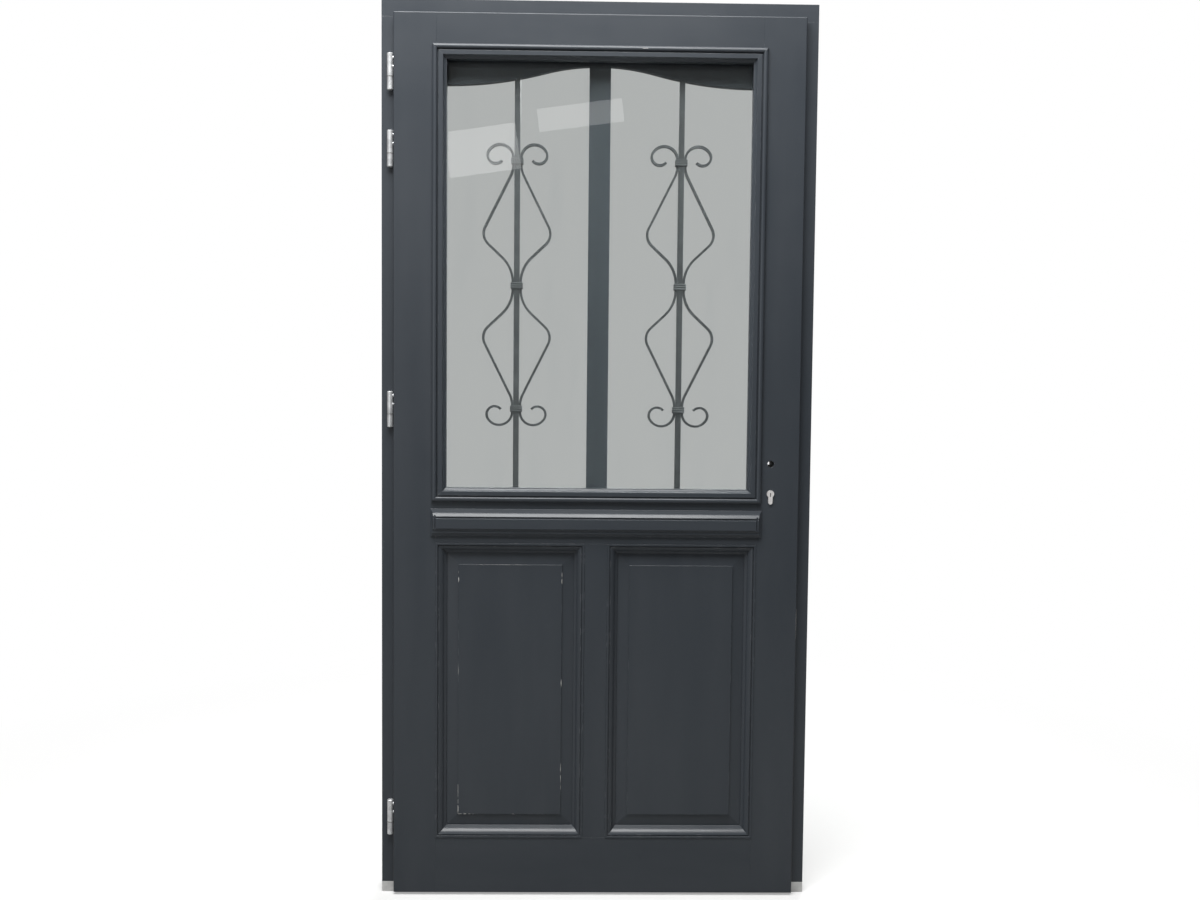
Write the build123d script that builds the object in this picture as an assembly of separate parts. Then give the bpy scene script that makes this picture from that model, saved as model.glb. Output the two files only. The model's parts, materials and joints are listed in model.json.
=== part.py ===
from build123d import *
import math
import os

# Glazed wooden front door in its frame, seen from the room side.
# X runs across the doorway, Y from the room to the street, Z up.
# The origin is the middle of the threshold's underside.

# Frame
frame_width = 1010
frame_height = 2100
frame_depth = 68
side_reveal = 30  # frame left in view beside the closed leaf
head_reveal = 34  # frame left in view above the closed leaf
stop_width = 17
seal_gap = 2.5  # between the leaf's street face and the stops
fixing_radius = 4
lower_fixing_shares = (0.2, 0.7)  # of the way from the lower pin bolt up to the spindle
upper_fixing_shares = (0.45, 0.82)  # of the way from the spindle up to the upper pin bolt
fixing_setback = 19  # from the frame's room face to the fixing holes

# Threshold
threshold_height = 25
threshold_nose = 26
threshold_nose_height = 11
threshold_wall = 2.5

# Seals
seal_bulb_width = 8
seal_root_width = 3
seal_root_depth = 5
seal_set_off = 0.3  # slack left between the bulb and the leaf
sweep_width = 8
sweep_groove_depth = 9
sweep_clearance = 0.5

# Leaf
leaf_thickness = 58
leaf_floor_gap = 6
leaf_gap = 4  # between the leaf's body and the rebate
lip_width = 17
head_lip_width = 10
lip_thickness = 17
lip_gap = 1.5
edge_round = 2.5
stile_width = 99
top_rail_width = 82
mid_rail_width = 107
mid_rail_height = 844
bottom_rail_width = 134
muntin_width = 54
mullion_width = 50

# Moulded stops worked on the street side of stiles and rails
stick_width = 16
stick_thickness = 14
stick_round = 8

# Arched head on the street side
arch_drop = 72  # from the top rail down to the foot of the arch
arch_rise = 47
arch_crown_share = 0.36

# Double glazing
pane_thickness = 4
pane_gap = 16
pane_clearance = 3
tape_thickness = 2
tape_width = 10
spacer_width = 9

# Room-side glazing bead, a moulding that stands over the stiles and rails
bead_width = 33
bead_cover = 10
bead_rise = 9
bead_round = 6.5
bead_crown_width = 12
bead_crown_ease = 4.5  # rounds the crown towards the quirk
bead_quirk_width = 3.2
bead_quirk_depth = 6.5
bead_shelf_drop = 2.2
bead_shelf_width = 10
bead_cove_radius = 14
bead_lip_width = 1.6
bead_lip_drop = 1.5

# Room-side panel bead, a moulding sunk between the frame and the panel
panel_bead_width = 24.5
panel_bead_rise = 1.6
panel_bead_fillet = 4.6
panel_bead_quirk_width = 2.4
panel_bead_quirk_depth = 2.4
panel_bead_fall = 11.5
panel_bead_swell = 24  # radius of the face between the quirk and the foot
panel_bead_step = 1.8
panel_bead_foot_width = 6.2
panel_bead_foot_drop = 4.2

# Raised and fielded panels
panel_clearance = 2
panel_bevel_width = 28
panel_bevel_rise = 4
panel_field_step = 3

# Moulding across the middle rail
belt_overlap = 12  # how far each end runs onto the stiles
belt_height = 64
belt_rise = 14
belt_end_width = 14
belt_cap_shares = (
    (0.2, 1.0), (0.46, 0.85), (0.58, 0.84), (0.93, 0.735),
    (0.96, 0.72), (0.8, 0.71), (0.8, 0.67), (1.0, 0.645),
)
belt_base_shares = ((1.0, 0.29), (0.6, 0.19), (0.65, 0.12), (0.3, 0.03), (0.3, 0.0))
belt_end_shares = (
    (0.2, 0.0), (0.45, 0.4), (0.62, 0.4), (0.9, 0.5),
    (0.95, 0.68), (0.8, 0.72), (0.8, 0.9), (1.0, 1.0),
)
belt_set_up = 17  # from the middle rail's lower edge

# Weatherboard along the foot of the street side
weatherboard_height = 58
weatherboard_reach = 34
weatherboard_rise = 8  # above the body's lower edge
weatherboard_nose = 12
weatherboard_drip = 4
weatherboard_end_gap = 5

# Ironwork
bar_thickness = 13
scroll_thickness = 5.5
scroll_depth = 10
scroll_span_share = 0.281  # of the glazing's height, from the middle collar to each outer collar
bulge_reach_share = 0.27  # of that span, as the next six are, from the bar to the widest point
bulge_height_share = 0.42
bulge_radius_share = 0.117
waist_radius_share = 0.276
neck_radius_share = 0.207
volute_radius_share = 0.107
tip_radius_share = 0.066
scroll_volute_turn = 150
scroll_tip_turn = 170
collar_ring_height = 5
collar_rings = 3
collar_wall = 1.6
collar_height = collar_ring_height * collar_rings
grille_centre_share = 0.482

# Hinges
barrel_radius = 7
barrel_gap = 1  # between the barrels and the frame's face
barrel_set_out = 9  # from the leaf's edge to the pin
barrel_chamfer = 1.5
upper_barrel = 52
lower_barrel = 30
washer_thickness = 2
washer_radius = 7.6
pin_radius = 3.5
pin_fit = 0.05
pin_reach = 26
stud_radius = 3.5
stud_length = 34
stud_spacing = 20
stud_drop = 10  # from a barrel's outer end to its first stud
top_hinge_drop = 134  # from the leaf's top, as the next two are
upper_hinge_drop = 309
middle_hinge_drop = 910
bottom_hinge_rise = 180  # from the leaf's foot

# Lock
backset = 50
spindle_height = 1035
cylinder_drop = 70
faceplate_width = 16
faceplate_thickness = 3
faceplate_foot = 190
faceplate_drop = 186  # from the leaf's top to the faceplate's head
case_depth = 71
case_thickness = 15
case_wall = 1.5
case_head = 45  # above the spindle
case_foot = 55  # below the cylinder
lock_clearance = 0.3
spindle_square = 7.2
spindle_hole_radius = 8
hub_radius = 8
hub_fit = 0.05
hub_nose_width = 6
hub_nose_radius = 14
latch_height = 20
latch_thickness = 11
latch_reach = 12
latch_length = 22
latch_tail_thickness = 5
latch_tail_gap = 1
latch_hook_width = 4.5
latch_hook_depth = 6
bolt_height = 32
bolt_thickness = 11
bolt_throw = 20
bolt_length = 33
pin_bolt_radius = 6
upper_point_margin = 130  # from the faceplate's head down to the upper pin bolt
lower_point_margin = 100  # from the faceplate's foot up to the lower pin bolt
point_case_height = 60
point_case_depth = 38
rod_width = 8
rod_thickness = 3
rod_travel = 18
rod_end_gap = 7

# Profile cylinder
cylinder_radius = 8.5
cylinder_height = 33
cylinder_web = 10
cylinder_stand = 3
plug_radius = 6.5
plug_fit = 0.05
keyway_width = 2.6
keyway_height = 8.4
cam_width = 10
cam_radius = 15
cam_ring_radius = 8.4
cam_nose_width = 7
cam_fit = 0.2
cylinder_screw_radius = 2.5

# Keepers on the lock jamb
keeper_width = 24
keeper_thickness = 3
keeper_length = 220
keeper_rise = 35  # from the cylinder up to the keeper's middle
point_keeper_length = 110
keeper_window_gap = 1.2

# Wood screws
screw_radius = 2
screw_head_radius = 4
screw_head_height = 2
screw_length = 24
screw_end_share = 0.42
faceplate_screw_margin = 34

overrun = 6  # how far every cut runs past what it cuts

# Levels and lines that follow from the sizes above
frame_half = frame_width / 2
frame_front = -frame_depth / 2
frame_back = frame_depth / 2
leaf_half = frame_half - side_reveal
leaf_top = frame_height - head_reveal
lip_back = frame_front - lip_gap
leaf_front = lip_back - lip_thickness
leaf_back = leaf_front + leaf_thickness
body_half = leaf_half - lip_width
body_top = leaf_top - head_lip_width
body_foot = threshold_height + leaf_gap
rebate_half = body_half + leaf_gap
rebate_top = body_top + leaf_gap
stop_half = rebate_half - stop_width
stop_top = rebate_top - stop_width
stop_front = leaf_back + seal_gap
opening_half = leaf_half - stile_width
light_half = opening_half - stick_width
glazing_top = leaf_top - top_rail_width
glazing_foot = mid_rail_height + mid_rail_width
panel_top = mid_rail_height
panel_foot = bottom_rail_width + leaf_floor_gap
panel_inner = muntin_width / 2
stick_front = leaf_back - stick_thickness
unit_front = stick_front - tape_thickness - pane_gap - 2 * pane_thickness
bead_depth = unit_front - leaf_front
hinge_x = -leaf_half - barrel_set_out
hinge_y = frame_front - barrel_gap - barrel_radius
lock_y = (lip_back + leaf_back) / 2
lock_x = body_half - backset
cylinder_z = spindle_height - cylinder_drop
faceplate_back = body_half - faceplate_thickness
arch_foot = glazing_top - arch_drop
grille_z = glazing_foot + grille_centre_share * (glazing_top - glazing_foot)
grille_x = (light_half + mullion_width / 2) / 2
belt_length = 2 * (opening_half + belt_overlap)
scroll_span = scroll_span_share * (glazing_top - glazing_foot)
scroll_bulge = bulge_reach_share * scroll_span
scroll_bulge_height = bulge_height_share * scroll_span
scroll_bulge_radius = bulge_radius_share * scroll_span
scroll_waist_radius = waist_radius_share * scroll_span
scroll_neck_radius = neck_radius_share * scroll_span
scroll_volute_radius = volute_radius_share * scroll_span
scroll_tip_radius = tip_radius_share * scroll_span
hinge_heights = {
    "top": leaf_top - top_hinge_drop,
    "upper": leaf_top - upper_hinge_drop,
    "middle": leaf_top - middle_hinge_drop,
    "bottom": leaf_floor_gap + bottom_hinge_rise,
}
faceplate_head = leaf_top - faceplate_drop
rod_set_back = rod_travel + rod_end_gap
upper_point = faceplate_head - upper_point_margin
lower_point = faceplate_foot + lower_point_margin
point_heights = (upper_point, lower_point)
fixing_heights = [
    *[lower_point + share * (spindle_height - lower_point) for share in lower_fixing_shares],
    *[spindle_height + share * (upper_point - spindle_height) for share in upper_fixing_shares],
]


# Shared shapes
def block(x_span, y_span, z_span):
    spans = (x_span, y_span, z_span)
    middle = [(low + high) / 2 for low, high in spans]
    return Pos(*middle) * Box(*[high - low for low, high in spans])


def around(middle, size):
    return middle - size / 2, middle + size / 2


def rod(start, end, radius):
    path = Vector(*end) - Vector(*start)
    return extrude(Plane(origin=start, z_dir=path) * Circle(radius), amount=path.length)


def outline(*points):
    # A third value in a point is the radius of the arc that leads to it.
    closed = points[-1][:2] == points[0]
    ends = points[1:] if closed else points[1:] + points[:1]
    edges = []
    for here, there in zip(points, ends):
        if len(there) == 3:
            edges.append(RadiusArc(here[:2], there[:2], there[2]))
        else:
            edges.append(Line(here[:2], there))
    return make_face(edges)


def along_x(face, x_span):
    start = Plane(origin=(x_span[0], 0, 0), x_dir=(0, 1, 0), z_dir=(1, 0, 0))
    return extrude(start * face, amount=x_span[1] - x_span[0])


def along_y(face, y_span):
    start = Plane(origin=(0, y_span[1], 0), x_dir=(1, 0, 0), z_dir=(0, -1, 0))
    return extrude(start * face, amount=y_span[1] - y_span[0])


def along_z(face, z_span):
    return extrude(Pos(0, 0, z_span[0]) * face, amount=z_span[1] - z_span[0])


def group(solids):
    return Compound(children=list(solids))


def other_side(solid):
    return mirror(solid, about=Plane.YZ)


def wood_screw(tip, head):
    # A countersunk screw from its tip to the middle of its flat head.
    path = Vector(*head) - Vector(*tip)
    face = outline(
        (0, 0),
        (screw_radius, 0),
        (screw_radius, path.length - screw_head_height),
        (screw_head_radius, path.length),
        (0, path.length),
    )
    turned = revolve(Plane.XZ * face, axis=Axis.Z)
    return Plane(origin=tip, z_dir=path) * turned


def mitred_runs(x_span, z_span, width, profile):
    # Four lengths of one moulding round an opening, cut at 45 degrees where they meet.
    corners = [
        Vector(x_span[0], 0, z_span[0]),
        Vector(x_span[1], 0, z_span[0]),
        Vector(x_span[1], 0, z_span[1]),
        Vector(x_span[0], 0, z_span[1]),
    ]
    runs = []
    for start, end in zip(corners, corners[1:] + corners[:1]):
        along = (end - start).normalized()
        inward = Vector(-along.Z, 0, along.X)
        place = Plane(origin=start + Vector(0, leaf_front, 0), x_dir=inward, z_dir=along)
        run = extrude(place * profile, amount=(end - start).length)
        inner_start = start + (along + inward) * width
        inner_end = end + (inward - along) * width
        mitre = outline(*[(point.X, point.Z) for point in (start, end, inner_end, inner_start)])
        runs.append(run & along_y(mitre, (leaf_front - overrun - bead_rise, leaf_back)))
    return runs


# Frame
def jamb():
    section = outline(
        (rebate_half, frame_front),
        (frame_half, frame_front),
        (frame_half, frame_back),
        (stop_half, frame_back),
        (stop_half, stop_front),
        (rebate_half, stop_front),
    )
    member = along_z(section, (threshold_height, rebate_top))
    hole_y = frame_front + fixing_setback
    for height in fixing_heights:
        member -= rod((stop_half, hole_y, height), (frame_half + overrun, hole_y, height), fixing_radius)
    return member - jamb_seal()


def frame_head():
    beam = block((-frame_half, frame_half), (frame_front, frame_back), (rebate_top, frame_height))
    stop = block((-stop_half, stop_half), (stop_front, frame_back), (stop_top, rebate_top))
    return beam + stop - head_seal()


def threshold():
    nose = frame_back + threshold_nose
    section = outline(
        (frame_front, 0),
        (frame_front, threshold_height),
        (frame_back, threshold_height),
        (nose, threshold_nose_height),
        (nose, 0),
    )
    chamber_top = threshold_height - threshold_wall
    room_chamber = outline(
        (frame_front + threshold_wall, threshold_wall),
        (frame_front + threshold_wall, chamber_top),
        (-threshold_wall / 2, chamber_top),
        (-threshold_wall / 2, threshold_wall),
    )
    street_chamber = outline(
        (threshold_wall / 2, threshold_wall),
        (threshold_wall / 2, chamber_top),
        (frame_back, chamber_top),
        (nose - threshold_wall, threshold_nose_height - threshold_wall),
        (nose - threshold_wall, threshold_wall),
    )
    return along_x(section - room_chamber - street_chamber, (-frame_half, frame_half))


def seal_section(middle, height):
    # Root pressed into the stop, and a half-round bulb towards the leaf.
    half_bulb = seal_bulb_width / 2
    half_root = seal_root_width / 2
    bulb_rise = seal_gap - seal_set_off
    bulge = (half_bulb**2 + bulb_rise**2) / (2 * bulb_rise)
    return outline(
        (middle - half_root, height),
        (middle - half_root, height + seal_root_depth),
        (middle + half_root, height + seal_root_depth),
        (middle + half_root, height),
        (middle + half_bulb, height),
        (middle - half_bulb, height, bulge),
    )


def jamb_seal():
    section = seal_section(stop_half + stop_width / 2, stop_front)
    return along_z(section, (threshold_height, rebate_top))


def head_seal():
    section = Rot(0, 0, 90) * mirror(seal_section(stop_top + stop_width / 2, stop_front), about=Plane.XZ)
    return along_x(section, (-stop_half, stop_half))


def frame_seal():
    return group([jamb_seal(), head_seal(), other_side(jamb_seal())])


# Hinges
def hinge_levels(height):
    top = height + (upper_barrel + washer_thickness + lower_barrel) / 2
    joint = top - upper_barrel
    return top, joint, joint - washer_thickness, joint - washer_thickness - lower_barrel


def leaf_studs(height):
    first = hinge_levels(height)[0] - stud_drop
    end_x = -leaf_half + stud_length
    levels = (first, first - stud_spacing)
    return [rod((hinge_x, hinge_y, level), (end_x, hinge_y, level), stud_radius) for level in levels]


def frame_studs(height):
    first = hinge_levels(height)[3] + stud_drop
    end_y = frame_front + stud_length
    levels = (first, first + stud_spacing / 2)
    return [rod((hinge_x, hinge_y, level), (hinge_x, end_y, level), stud_radius) for level in levels]


def barrel(foot, head, free_end):
    body = rod((hinge_x, hinge_y, foot), (hinge_x, hinge_y, head), barrel_radius)
    return chamfer(body.edges().sort_by(Axis.Z)[free_end], barrel_chamfer)


def hinge_pin(height):
    _, joint, _, _ = hinge_levels(height)
    return rod((hinge_x, hinge_y, joint - pin_reach), (hinge_x, hinge_y, joint + pin_reach), pin_radius)


def hinge_leaf_half(height):
    top, joint, _, _ = hinge_levels(height)
    bore_end = joint + pin_reach + pin_fit
    bore = rod((hinge_x, hinge_y, joint), (hinge_x, hinge_y, bore_end), pin_radius + pin_fit)
    half = barrel(joint, top, -1)
    for stud in leaf_studs(height):
        half += stud
    return half - bore


def hinge_frame_half(height):
    _, _, joint, foot = hinge_levels(height)
    half = barrel(foot, joint, 0)
    for stud in frame_studs(height):
        half += stud
    return half - hinge_pin(height)


def hinge_washer(height):
    _, joint, seat, _ = hinge_levels(height)
    ring = rod((hinge_x, hinge_y, seat), (hinge_x, hinge_y, joint), washer_radius)
    return ring - hinge_pin(height)


def hinge_jamb():
    member = other_side(jamb())
    for height in hinge_heights.values():
        for stud in frame_studs(height):
            member -= stud
    return member


# Leaf joinery
def leaf_envelope():
    # The leaf's upright section: lipped head and foot, and eased arrises on the room side.
    section = outline(
        (leaf_front, leaf_floor_gap + edge_round),
        (leaf_front, leaf_top - edge_round),
        (leaf_front + edge_round, leaf_top, edge_round),
        (lip_back, leaf_top),
        (lip_back, body_top),
        (leaf_back, body_top),
        (leaf_back, body_foot),
        (lip_back, body_foot),
        (lip_back, leaf_floor_gap),
        (leaf_front + edge_round, leaf_floor_gap),
        (leaf_front, leaf_floor_gap + edge_round, edge_round),
    )
    return along_x(section, (-leaf_half, leaf_half))


def stile():
    section = outline(
        (-leaf_half + edge_round, leaf_front),
        (-opening_half, leaf_front),
        (-opening_half, stick_front),
        (-light_half, stick_front),
        (-light_half, leaf_back - stick_round),
        (-light_half - stick_round, leaf_back, -stick_round),
        (-body_half, leaf_back),
        (-body_half, lip_back),
        (-leaf_half, lip_back),
        (-leaf_half, leaf_front + edge_round),
        (-leaf_half + edge_round, leaf_front, -edge_round),
    )
    return along_z(section, (leaf_floor_gap, leaf_top)) & leaf_envelope()


def hinge_stile():
    member = stile()
    for height in hinge_heights.values():
        for stud in leaf_studs(height):
            member -= stud
    return member


def coped(member, *mates):
    # A rail or bar end scribed over the moulded edges that it meets.
    for mate in mates:
        member -= mate
    return member


def top_rail():
    blank = block((-opening_half, opening_half), (leaf_front, leaf_back), (glazing_top, leaf_top))
    return coped(blank & leaf_envelope(), stile(), other_side(stile()))


def mid_rail():
    upper_light = glazing_foot + stick_width
    lower_light = panel_top - stick_width
    section = outline(
        (leaf_front, panel_top),
        (leaf_front, glazing_foot),
        (stick_front, glazing_foot),
        (stick_front, upper_light),
        (leaf_back - stick_round, upper_light),
        (leaf_back, upper_light - stick_round, stick_round),
        (leaf_back, lower_light + stick_round),
        (leaf_back - stick_round, lower_light, stick_round),
        (stick_front, lower_light),
        (stick_front, panel_top),
    )
    rail = along_x(section, (-opening_half, opening_half))
    return coped(rail, stile(), other_side(stile()))


def bottom_rail():
    light = panel_foot + stick_width
    section = outline(
        (leaf_front, leaf_floor_gap),
        (leaf_front, panel_foot),
        (stick_front, panel_foot),
        (stick_front, light),
        (leaf_back - stick_round, light),
        (leaf_back, light - stick_round, stick_round),
        (leaf_back, leaf_floor_gap),
    )
    rail = along_x(section, (-opening_half, opening_half)) & leaf_envelope()
    return coped(rail, stile(), other_side(stile()), door_sweep())


def panel_muntin():
    light = panel_inner + stick_width
    section = outline(
        (-panel_inner, leaf_front),
        (panel_inner, leaf_front),
        (panel_inner, stick_front),
        (light, stick_front),
        (light, leaf_back - stick_round),
        (light - stick_round, leaf_back, -stick_round),
        (stick_round - light, leaf_back),
        (-light, leaf_back - stick_round, -stick_round),
        (-light, stick_front),
        (-panel_inner, stick_front),
    )
    return coped(along_z(section, (panel_foot, panel_top)), mid_rail(), bottom_rail())


def arched_head():
    # The lower edge is an ogee on each side: a crown arc, then a longer arc the other way.
    turn = 2 * math.atan(arch_rise / light_half)
    bend_x = light_half * arch_crown_share
    bend_z = arch_foot + arch_rise * (1 - arch_crown_share)
    crown_radius = bend_x / math.sin(turn)
    flank_radius = (light_half - bend_x) / math.sin(turn)
    face = outline(
        (-opening_half, glazing_top),
        (-opening_half, arch_foot),
        (-light_half, arch_foot),
        (-bend_x, bend_z, -flank_radius),
        (0, arch_foot + arch_rise, crown_radius),
        (bend_x, bend_z, crown_radius),
        (light_half, arch_foot, -flank_radius),
        (opening_half, arch_foot),
        (opening_half, glazing_top),
    )
    board = along_y(face, (stick_front, leaf_back))
    return coped(board, stile(), other_side(stile()))


def glazing_mullion():
    half = mullion_width / 2
    section = outline(
        (-half, stick_front),
        (half, stick_front),
        (half, leaf_back - stick_round),
        (half - stick_round, leaf_back, -stick_round),
        (stick_round - half, leaf_back),
        (-half, leaf_back - stick_round, -stick_round),
    )
    return coped(along_z(section, (glazing_foot, glazing_top)), mid_rail(), arched_head())


# Panels and beads
def panel(x_span):
    width = x_span[1] - x_span[0]
    middle_x = sum(x_span) / 2
    height = panel_top - panel_foot
    middle_z = (panel_top + panel_foot) / 2
    slack = 2 * panel_clearance

    def sheet(level, inset):
        place = Plane(origin=(middle_x, level, middle_z), x_dir=(1, 0, 0), z_dir=(0, -1, 0))
        return place * Rectangle(width - 2 * inset, height - 2 * inset)

    def fielded(level, rise, inset):
        field_inset = inset + panel_bevel_width
        bevel = loft([sheet(level, inset), sheet(level + rise * panel_bevel_rise, field_inset)])
        crown = level + rise * (panel_bevel_rise + panel_field_step)
        field = loft([sheet(level, field_inset), sheet(crown, field_inset)])
        return bevel + field

    across = around(middle_x, width - slack)
    upright = around(middle_z, height - slack)
    board = block(across, (unit_front, stick_front), upright)
    return board + fielded(unit_front, -1, panel_bead_width) + fielded(stick_front, 1, stick_width)


def glazing_bead_profile():
    shelf = bead_rise - bead_shelf_drop
    quirk_end = bead_crown_width + bead_quirk_width
    shelf_end = quirk_end + bead_shelf_width
    cove_end = bead_width - bead_lip_width
    return outline(
        (0, 0),
        (0, bead_rise - bead_round),
        (bead_round, bead_rise, bead_round),
        (bead_crown_width - bead_crown_ease, bead_rise),
        (bead_crown_width, bead_rise - bead_crown_ease, bead_crown_ease),
        (bead_crown_width, bead_rise - bead_quirk_depth),
        (quirk_end, bead_rise - bead_quirk_depth),
        (quirk_end, shelf),
        (shelf_end, shelf),
        (cove_end, -bead_lip_drop, -bead_cove_radius),
        (bead_width, -bead_lip_drop),
        (bead_width, -bead_depth),
        (bead_cover, -bead_depth),
        (bead_cover, 0),
    )


def panel_bead_profile():
    quirk_end = panel_bead_fillet + panel_bead_quirk_width
    foot_start = panel_bead_width - panel_bead_foot_width
    foot_level = -panel_bead_fall
    return outline(
        (0, -bead_depth),
        (0, panel_bead_rise),
        (panel_bead_fillet, panel_bead_rise),
        (panel_bead_fillet, -panel_bead_quirk_depth),
        (quirk_end, -panel_bead_quirk_depth),
        (quirk_end, 0),
        (foot_start, foot_level + panel_bead_step, panel_bead_swell),
        (foot_start, foot_level),
        (panel_bead_width, foot_level - panel_bead_foot_drop),
        (panel_bead_width, -bead_depth),
    )


def panel_beads(x_span):
    return group(mitred_runs(x_span, (panel_foot, panel_top), panel_bead_width, panel_bead_profile()))


def glazing_beads():
    across = (-opening_half - bead_cover, opening_half + bead_cover)
    upright = (glazing_foot - bead_cover, glazing_top + bead_cover)
    runs = mitred_runs(across, upright, bead_width, glazing_bead_profile())
    return dict(zip(("bottom", "right", "top", "left"), runs))


def belt_moulding():
    foot = mid_rail_height + belt_set_up

    def upright(shares):
        return [(leaf_front - rise * belt_rise, foot + level * belt_height) for rise, level in shares]

    def across(side):
        end = side * belt_length / 2
        width = side * belt_end_width
        return [(end - run * width, leaf_front - rise * belt_rise) for rise, run in belt_end_shares]

    front = outline(
        (leaf_front, foot + belt_height),
        *upright(belt_cap_shares),
        *upright(belt_base_shares),
        (leaf_front, foot),
    )
    plan = outline(
        (-belt_length / 2, leaf_front),
        *across(-1),
        *reversed(across(1)),
        (belt_length / 2, leaf_front),
    )
    lengthwise = along_x(front, (-belt_length / 2, belt_length / 2))
    return lengthwise & along_z(plan, (foot, foot + belt_height))


def weatherboard():
    foot = body_foot + weatherboard_rise
    head = foot + weatherboard_height
    reach = leaf_back + weatherboard_reach
    drip_edge = reach - weatherboard_drip
    half = stop_half - weatherboard_end_gap
    section = outline(
        (leaf_back, foot),
        (leaf_back, head),
        (reach, foot + weatherboard_nose, -weatherboard_height),
        (reach, foot),
        (drip_edge, foot),
        (drip_edge, foot + weatherboard_drip),
        (drip_edge - weatherboard_drip, foot + weatherboard_drip),
        (drip_edge - weatherboard_drip, foot),
    )
    return along_x(section, (-half, half))


def door_sweep():
    span = (-opening_half, opening_half)
    level = threshold_height + sweep_clearance
    return block(span, around(lock_y, sweep_width), (level, body_foot + sweep_groove_depth))


# Glazing
def pane(front):
    half = opening_half - pane_clearance
    upright = (glazing_foot + pane_clearance, glazing_top - pane_clearance)
    return block((-half, half), (front, front + pane_thickness), upright)


def rim(y_span, width):
    # A flat ring round the edge of the glass.
    half = opening_half - pane_clearance
    foot = glazing_foot + pane_clearance
    head = glazing_top - pane_clearance
    hole = block((width - half, half - width), y_span, (foot + width, head - width))
    return block((-half, half), y_span, (foot, head)) - hole


def pane_spacer():
    front = unit_front + pane_thickness
    return rim((front, front + pane_gap), spacer_width)


def glazing_tape():
    return rim((stick_front - tape_thickness, stick_front), tape_width)


# Ironwork
def tangent_turn(start_x, rise, radius):
    # Angle from upright of the straight that joins the bulge to a smaller bend beside the bar.
    across = scroll_bulge - scroll_bulge_radius - start_x - radius
    reach = math.hypot(across, rise)
    return math.degrees(math.asin((radius + scroll_bulge_radius) / reach) + math.atan2(across, rise))


def scroll_path():
    # Half of one scroll in X and Z, from the middle collar up to the curled tip.
    side = (bar_thickness + scroll_thickness) / 2
    collar_half = collar_height / 2
    bulge_x = scroll_bulge - scroll_bulge_radius
    neck_z = scroll_span - collar_half
    waist_turn = tangent_turn(side, scroll_bulge_height - collar_half, scroll_waist_radius)
    neck_turn = tangent_turn(side, neck_z - scroll_bulge_height, scroll_neck_radius)
    waist = CenterArc((side + scroll_waist_radius, collar_half), scroll_waist_radius, 180, -waist_turn)
    bulge_turn = waist_turn + neck_turn
    bulge = CenterArc((bulge_x, scroll_bulge_height), scroll_bulge_radius, -waist_turn, bulge_turn)
    neck = CenterArc((side + scroll_neck_radius, neck_z), scroll_neck_radius, 180 + neck_turn, -neck_turn)
    volute_z = scroll_span + collar_half
    volute_x = side + scroll_volute_radius
    volute = CenterArc((volute_x, volute_z), scroll_volute_radius, 180, -scroll_volute_turn)
    lean = math.radians(180 - scroll_volute_turn)
    inward = scroll_volute_radius - scroll_tip_radius
    tip_centre = (volute_x + inward * math.cos(lean), volute_z + inward * math.sin(lean))
    tip = CenterArc(tip_centre, scroll_tip_radius, 180 - scroll_volute_turn, -scroll_tip_turn)
    return [
        Line((side, 0), waist @ 0),
        waist,
        Line(waist @ 1, bulge @ 0),
        bulge,
        Line(bulge @ 1, neck @ 0),
        neck,
        Line(neck @ 1, volute @ 0),
        volute,
        tip,
    ]


def scroll_half():
    path = Plane.XZ * Wire([edge.edge() for edge in scroll_path()])
    start = Plane(origin=path @ 0, x_dir=(1, 0, 0), z_dir=path % 0)
    return sweep(start * Rectangle(scroll_thickness, scroll_depth), path=path)


def grille_scrolls(place_x):
    upper = scroll_half()
    right = upper + mirror(upper, about=Plane.XY)
    place = Pos(place_x, leaf_back - stick_thickness / 2, grille_z)
    return group([place * right, place * mirror(right, about=Plane.YZ)])


def grille_bar(place_x):
    middle_y = leaf_back - stick_thickness / 2
    upright = (glazing_foot, glazing_top)
    bar = block(around(place_x, bar_thickness), around(middle_y, bar_thickness), upright)
    return coped(bar, mid_rail(), arched_head())


def ringed_band(width):
    # Outline of a collar with one rounded swell for each ring.
    half = width / 2
    levels = [ring * collar_ring_height - collar_height / 2 for ring in range(collar_rings + 1)]
    rising = [(half, level, -collar_ring_height) for level in levels[1:]]
    falling = [(-half, level, -collar_ring_height) for level in reversed(levels[:-1])]
    return outline((half, levels[0]), *rising, (-half, levels[-1]), *falling)


def grille_collars(place_x):
    bundle = bar_thickness + 2 * scroll_thickness
    front = along_y(ringed_band(bundle + 2 * collar_wall), around(0, bundle * 2))
    side = along_x(ringed_band(bar_thickness + 2 * collar_wall), around(0, bundle * 2))
    collar = front & side
    collar -= block(around(0, bundle), around(0, bar_thickness), around(0, bundle * 2))
    middle_y = leaf_back - stick_thickness / 2
    levels = (grille_z - scroll_span, grille_z, grille_z + scroll_span)
    return group([Pos(place_x, middle_y, level) * collar for level in levels])


# Lock
def case_box(back_x, z_span, slack):
    across = (back_x - slack, faceplate_back)
    upright = (z_span[0] - slack, z_span[1] + slack)
    return block(across, around(lock_y, case_thickness + 2 * slack), upright)


def hollow_case(back_x, z_span):
    inside = block(
        (back_x + case_wall, faceplate_back + overrun),
        around(lock_y, case_thickness - 2 * case_wall),
        (z_span[0] + case_wall, z_span[1] - case_wall),
    )
    return case_box(back_x, z_span, 0) - inside


def main_case_span():
    return cylinder_z - case_foot, spindle_height + case_head


def point_case_spans():
    return [around(height, point_case_height) for height in point_heights]


def across_leaf(radius):
    start = (lock_x, leaf_front - overrun, spindle_height)
    return rod(start, (lock_x, leaf_back + overrun, spindle_height), radius)


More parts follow.
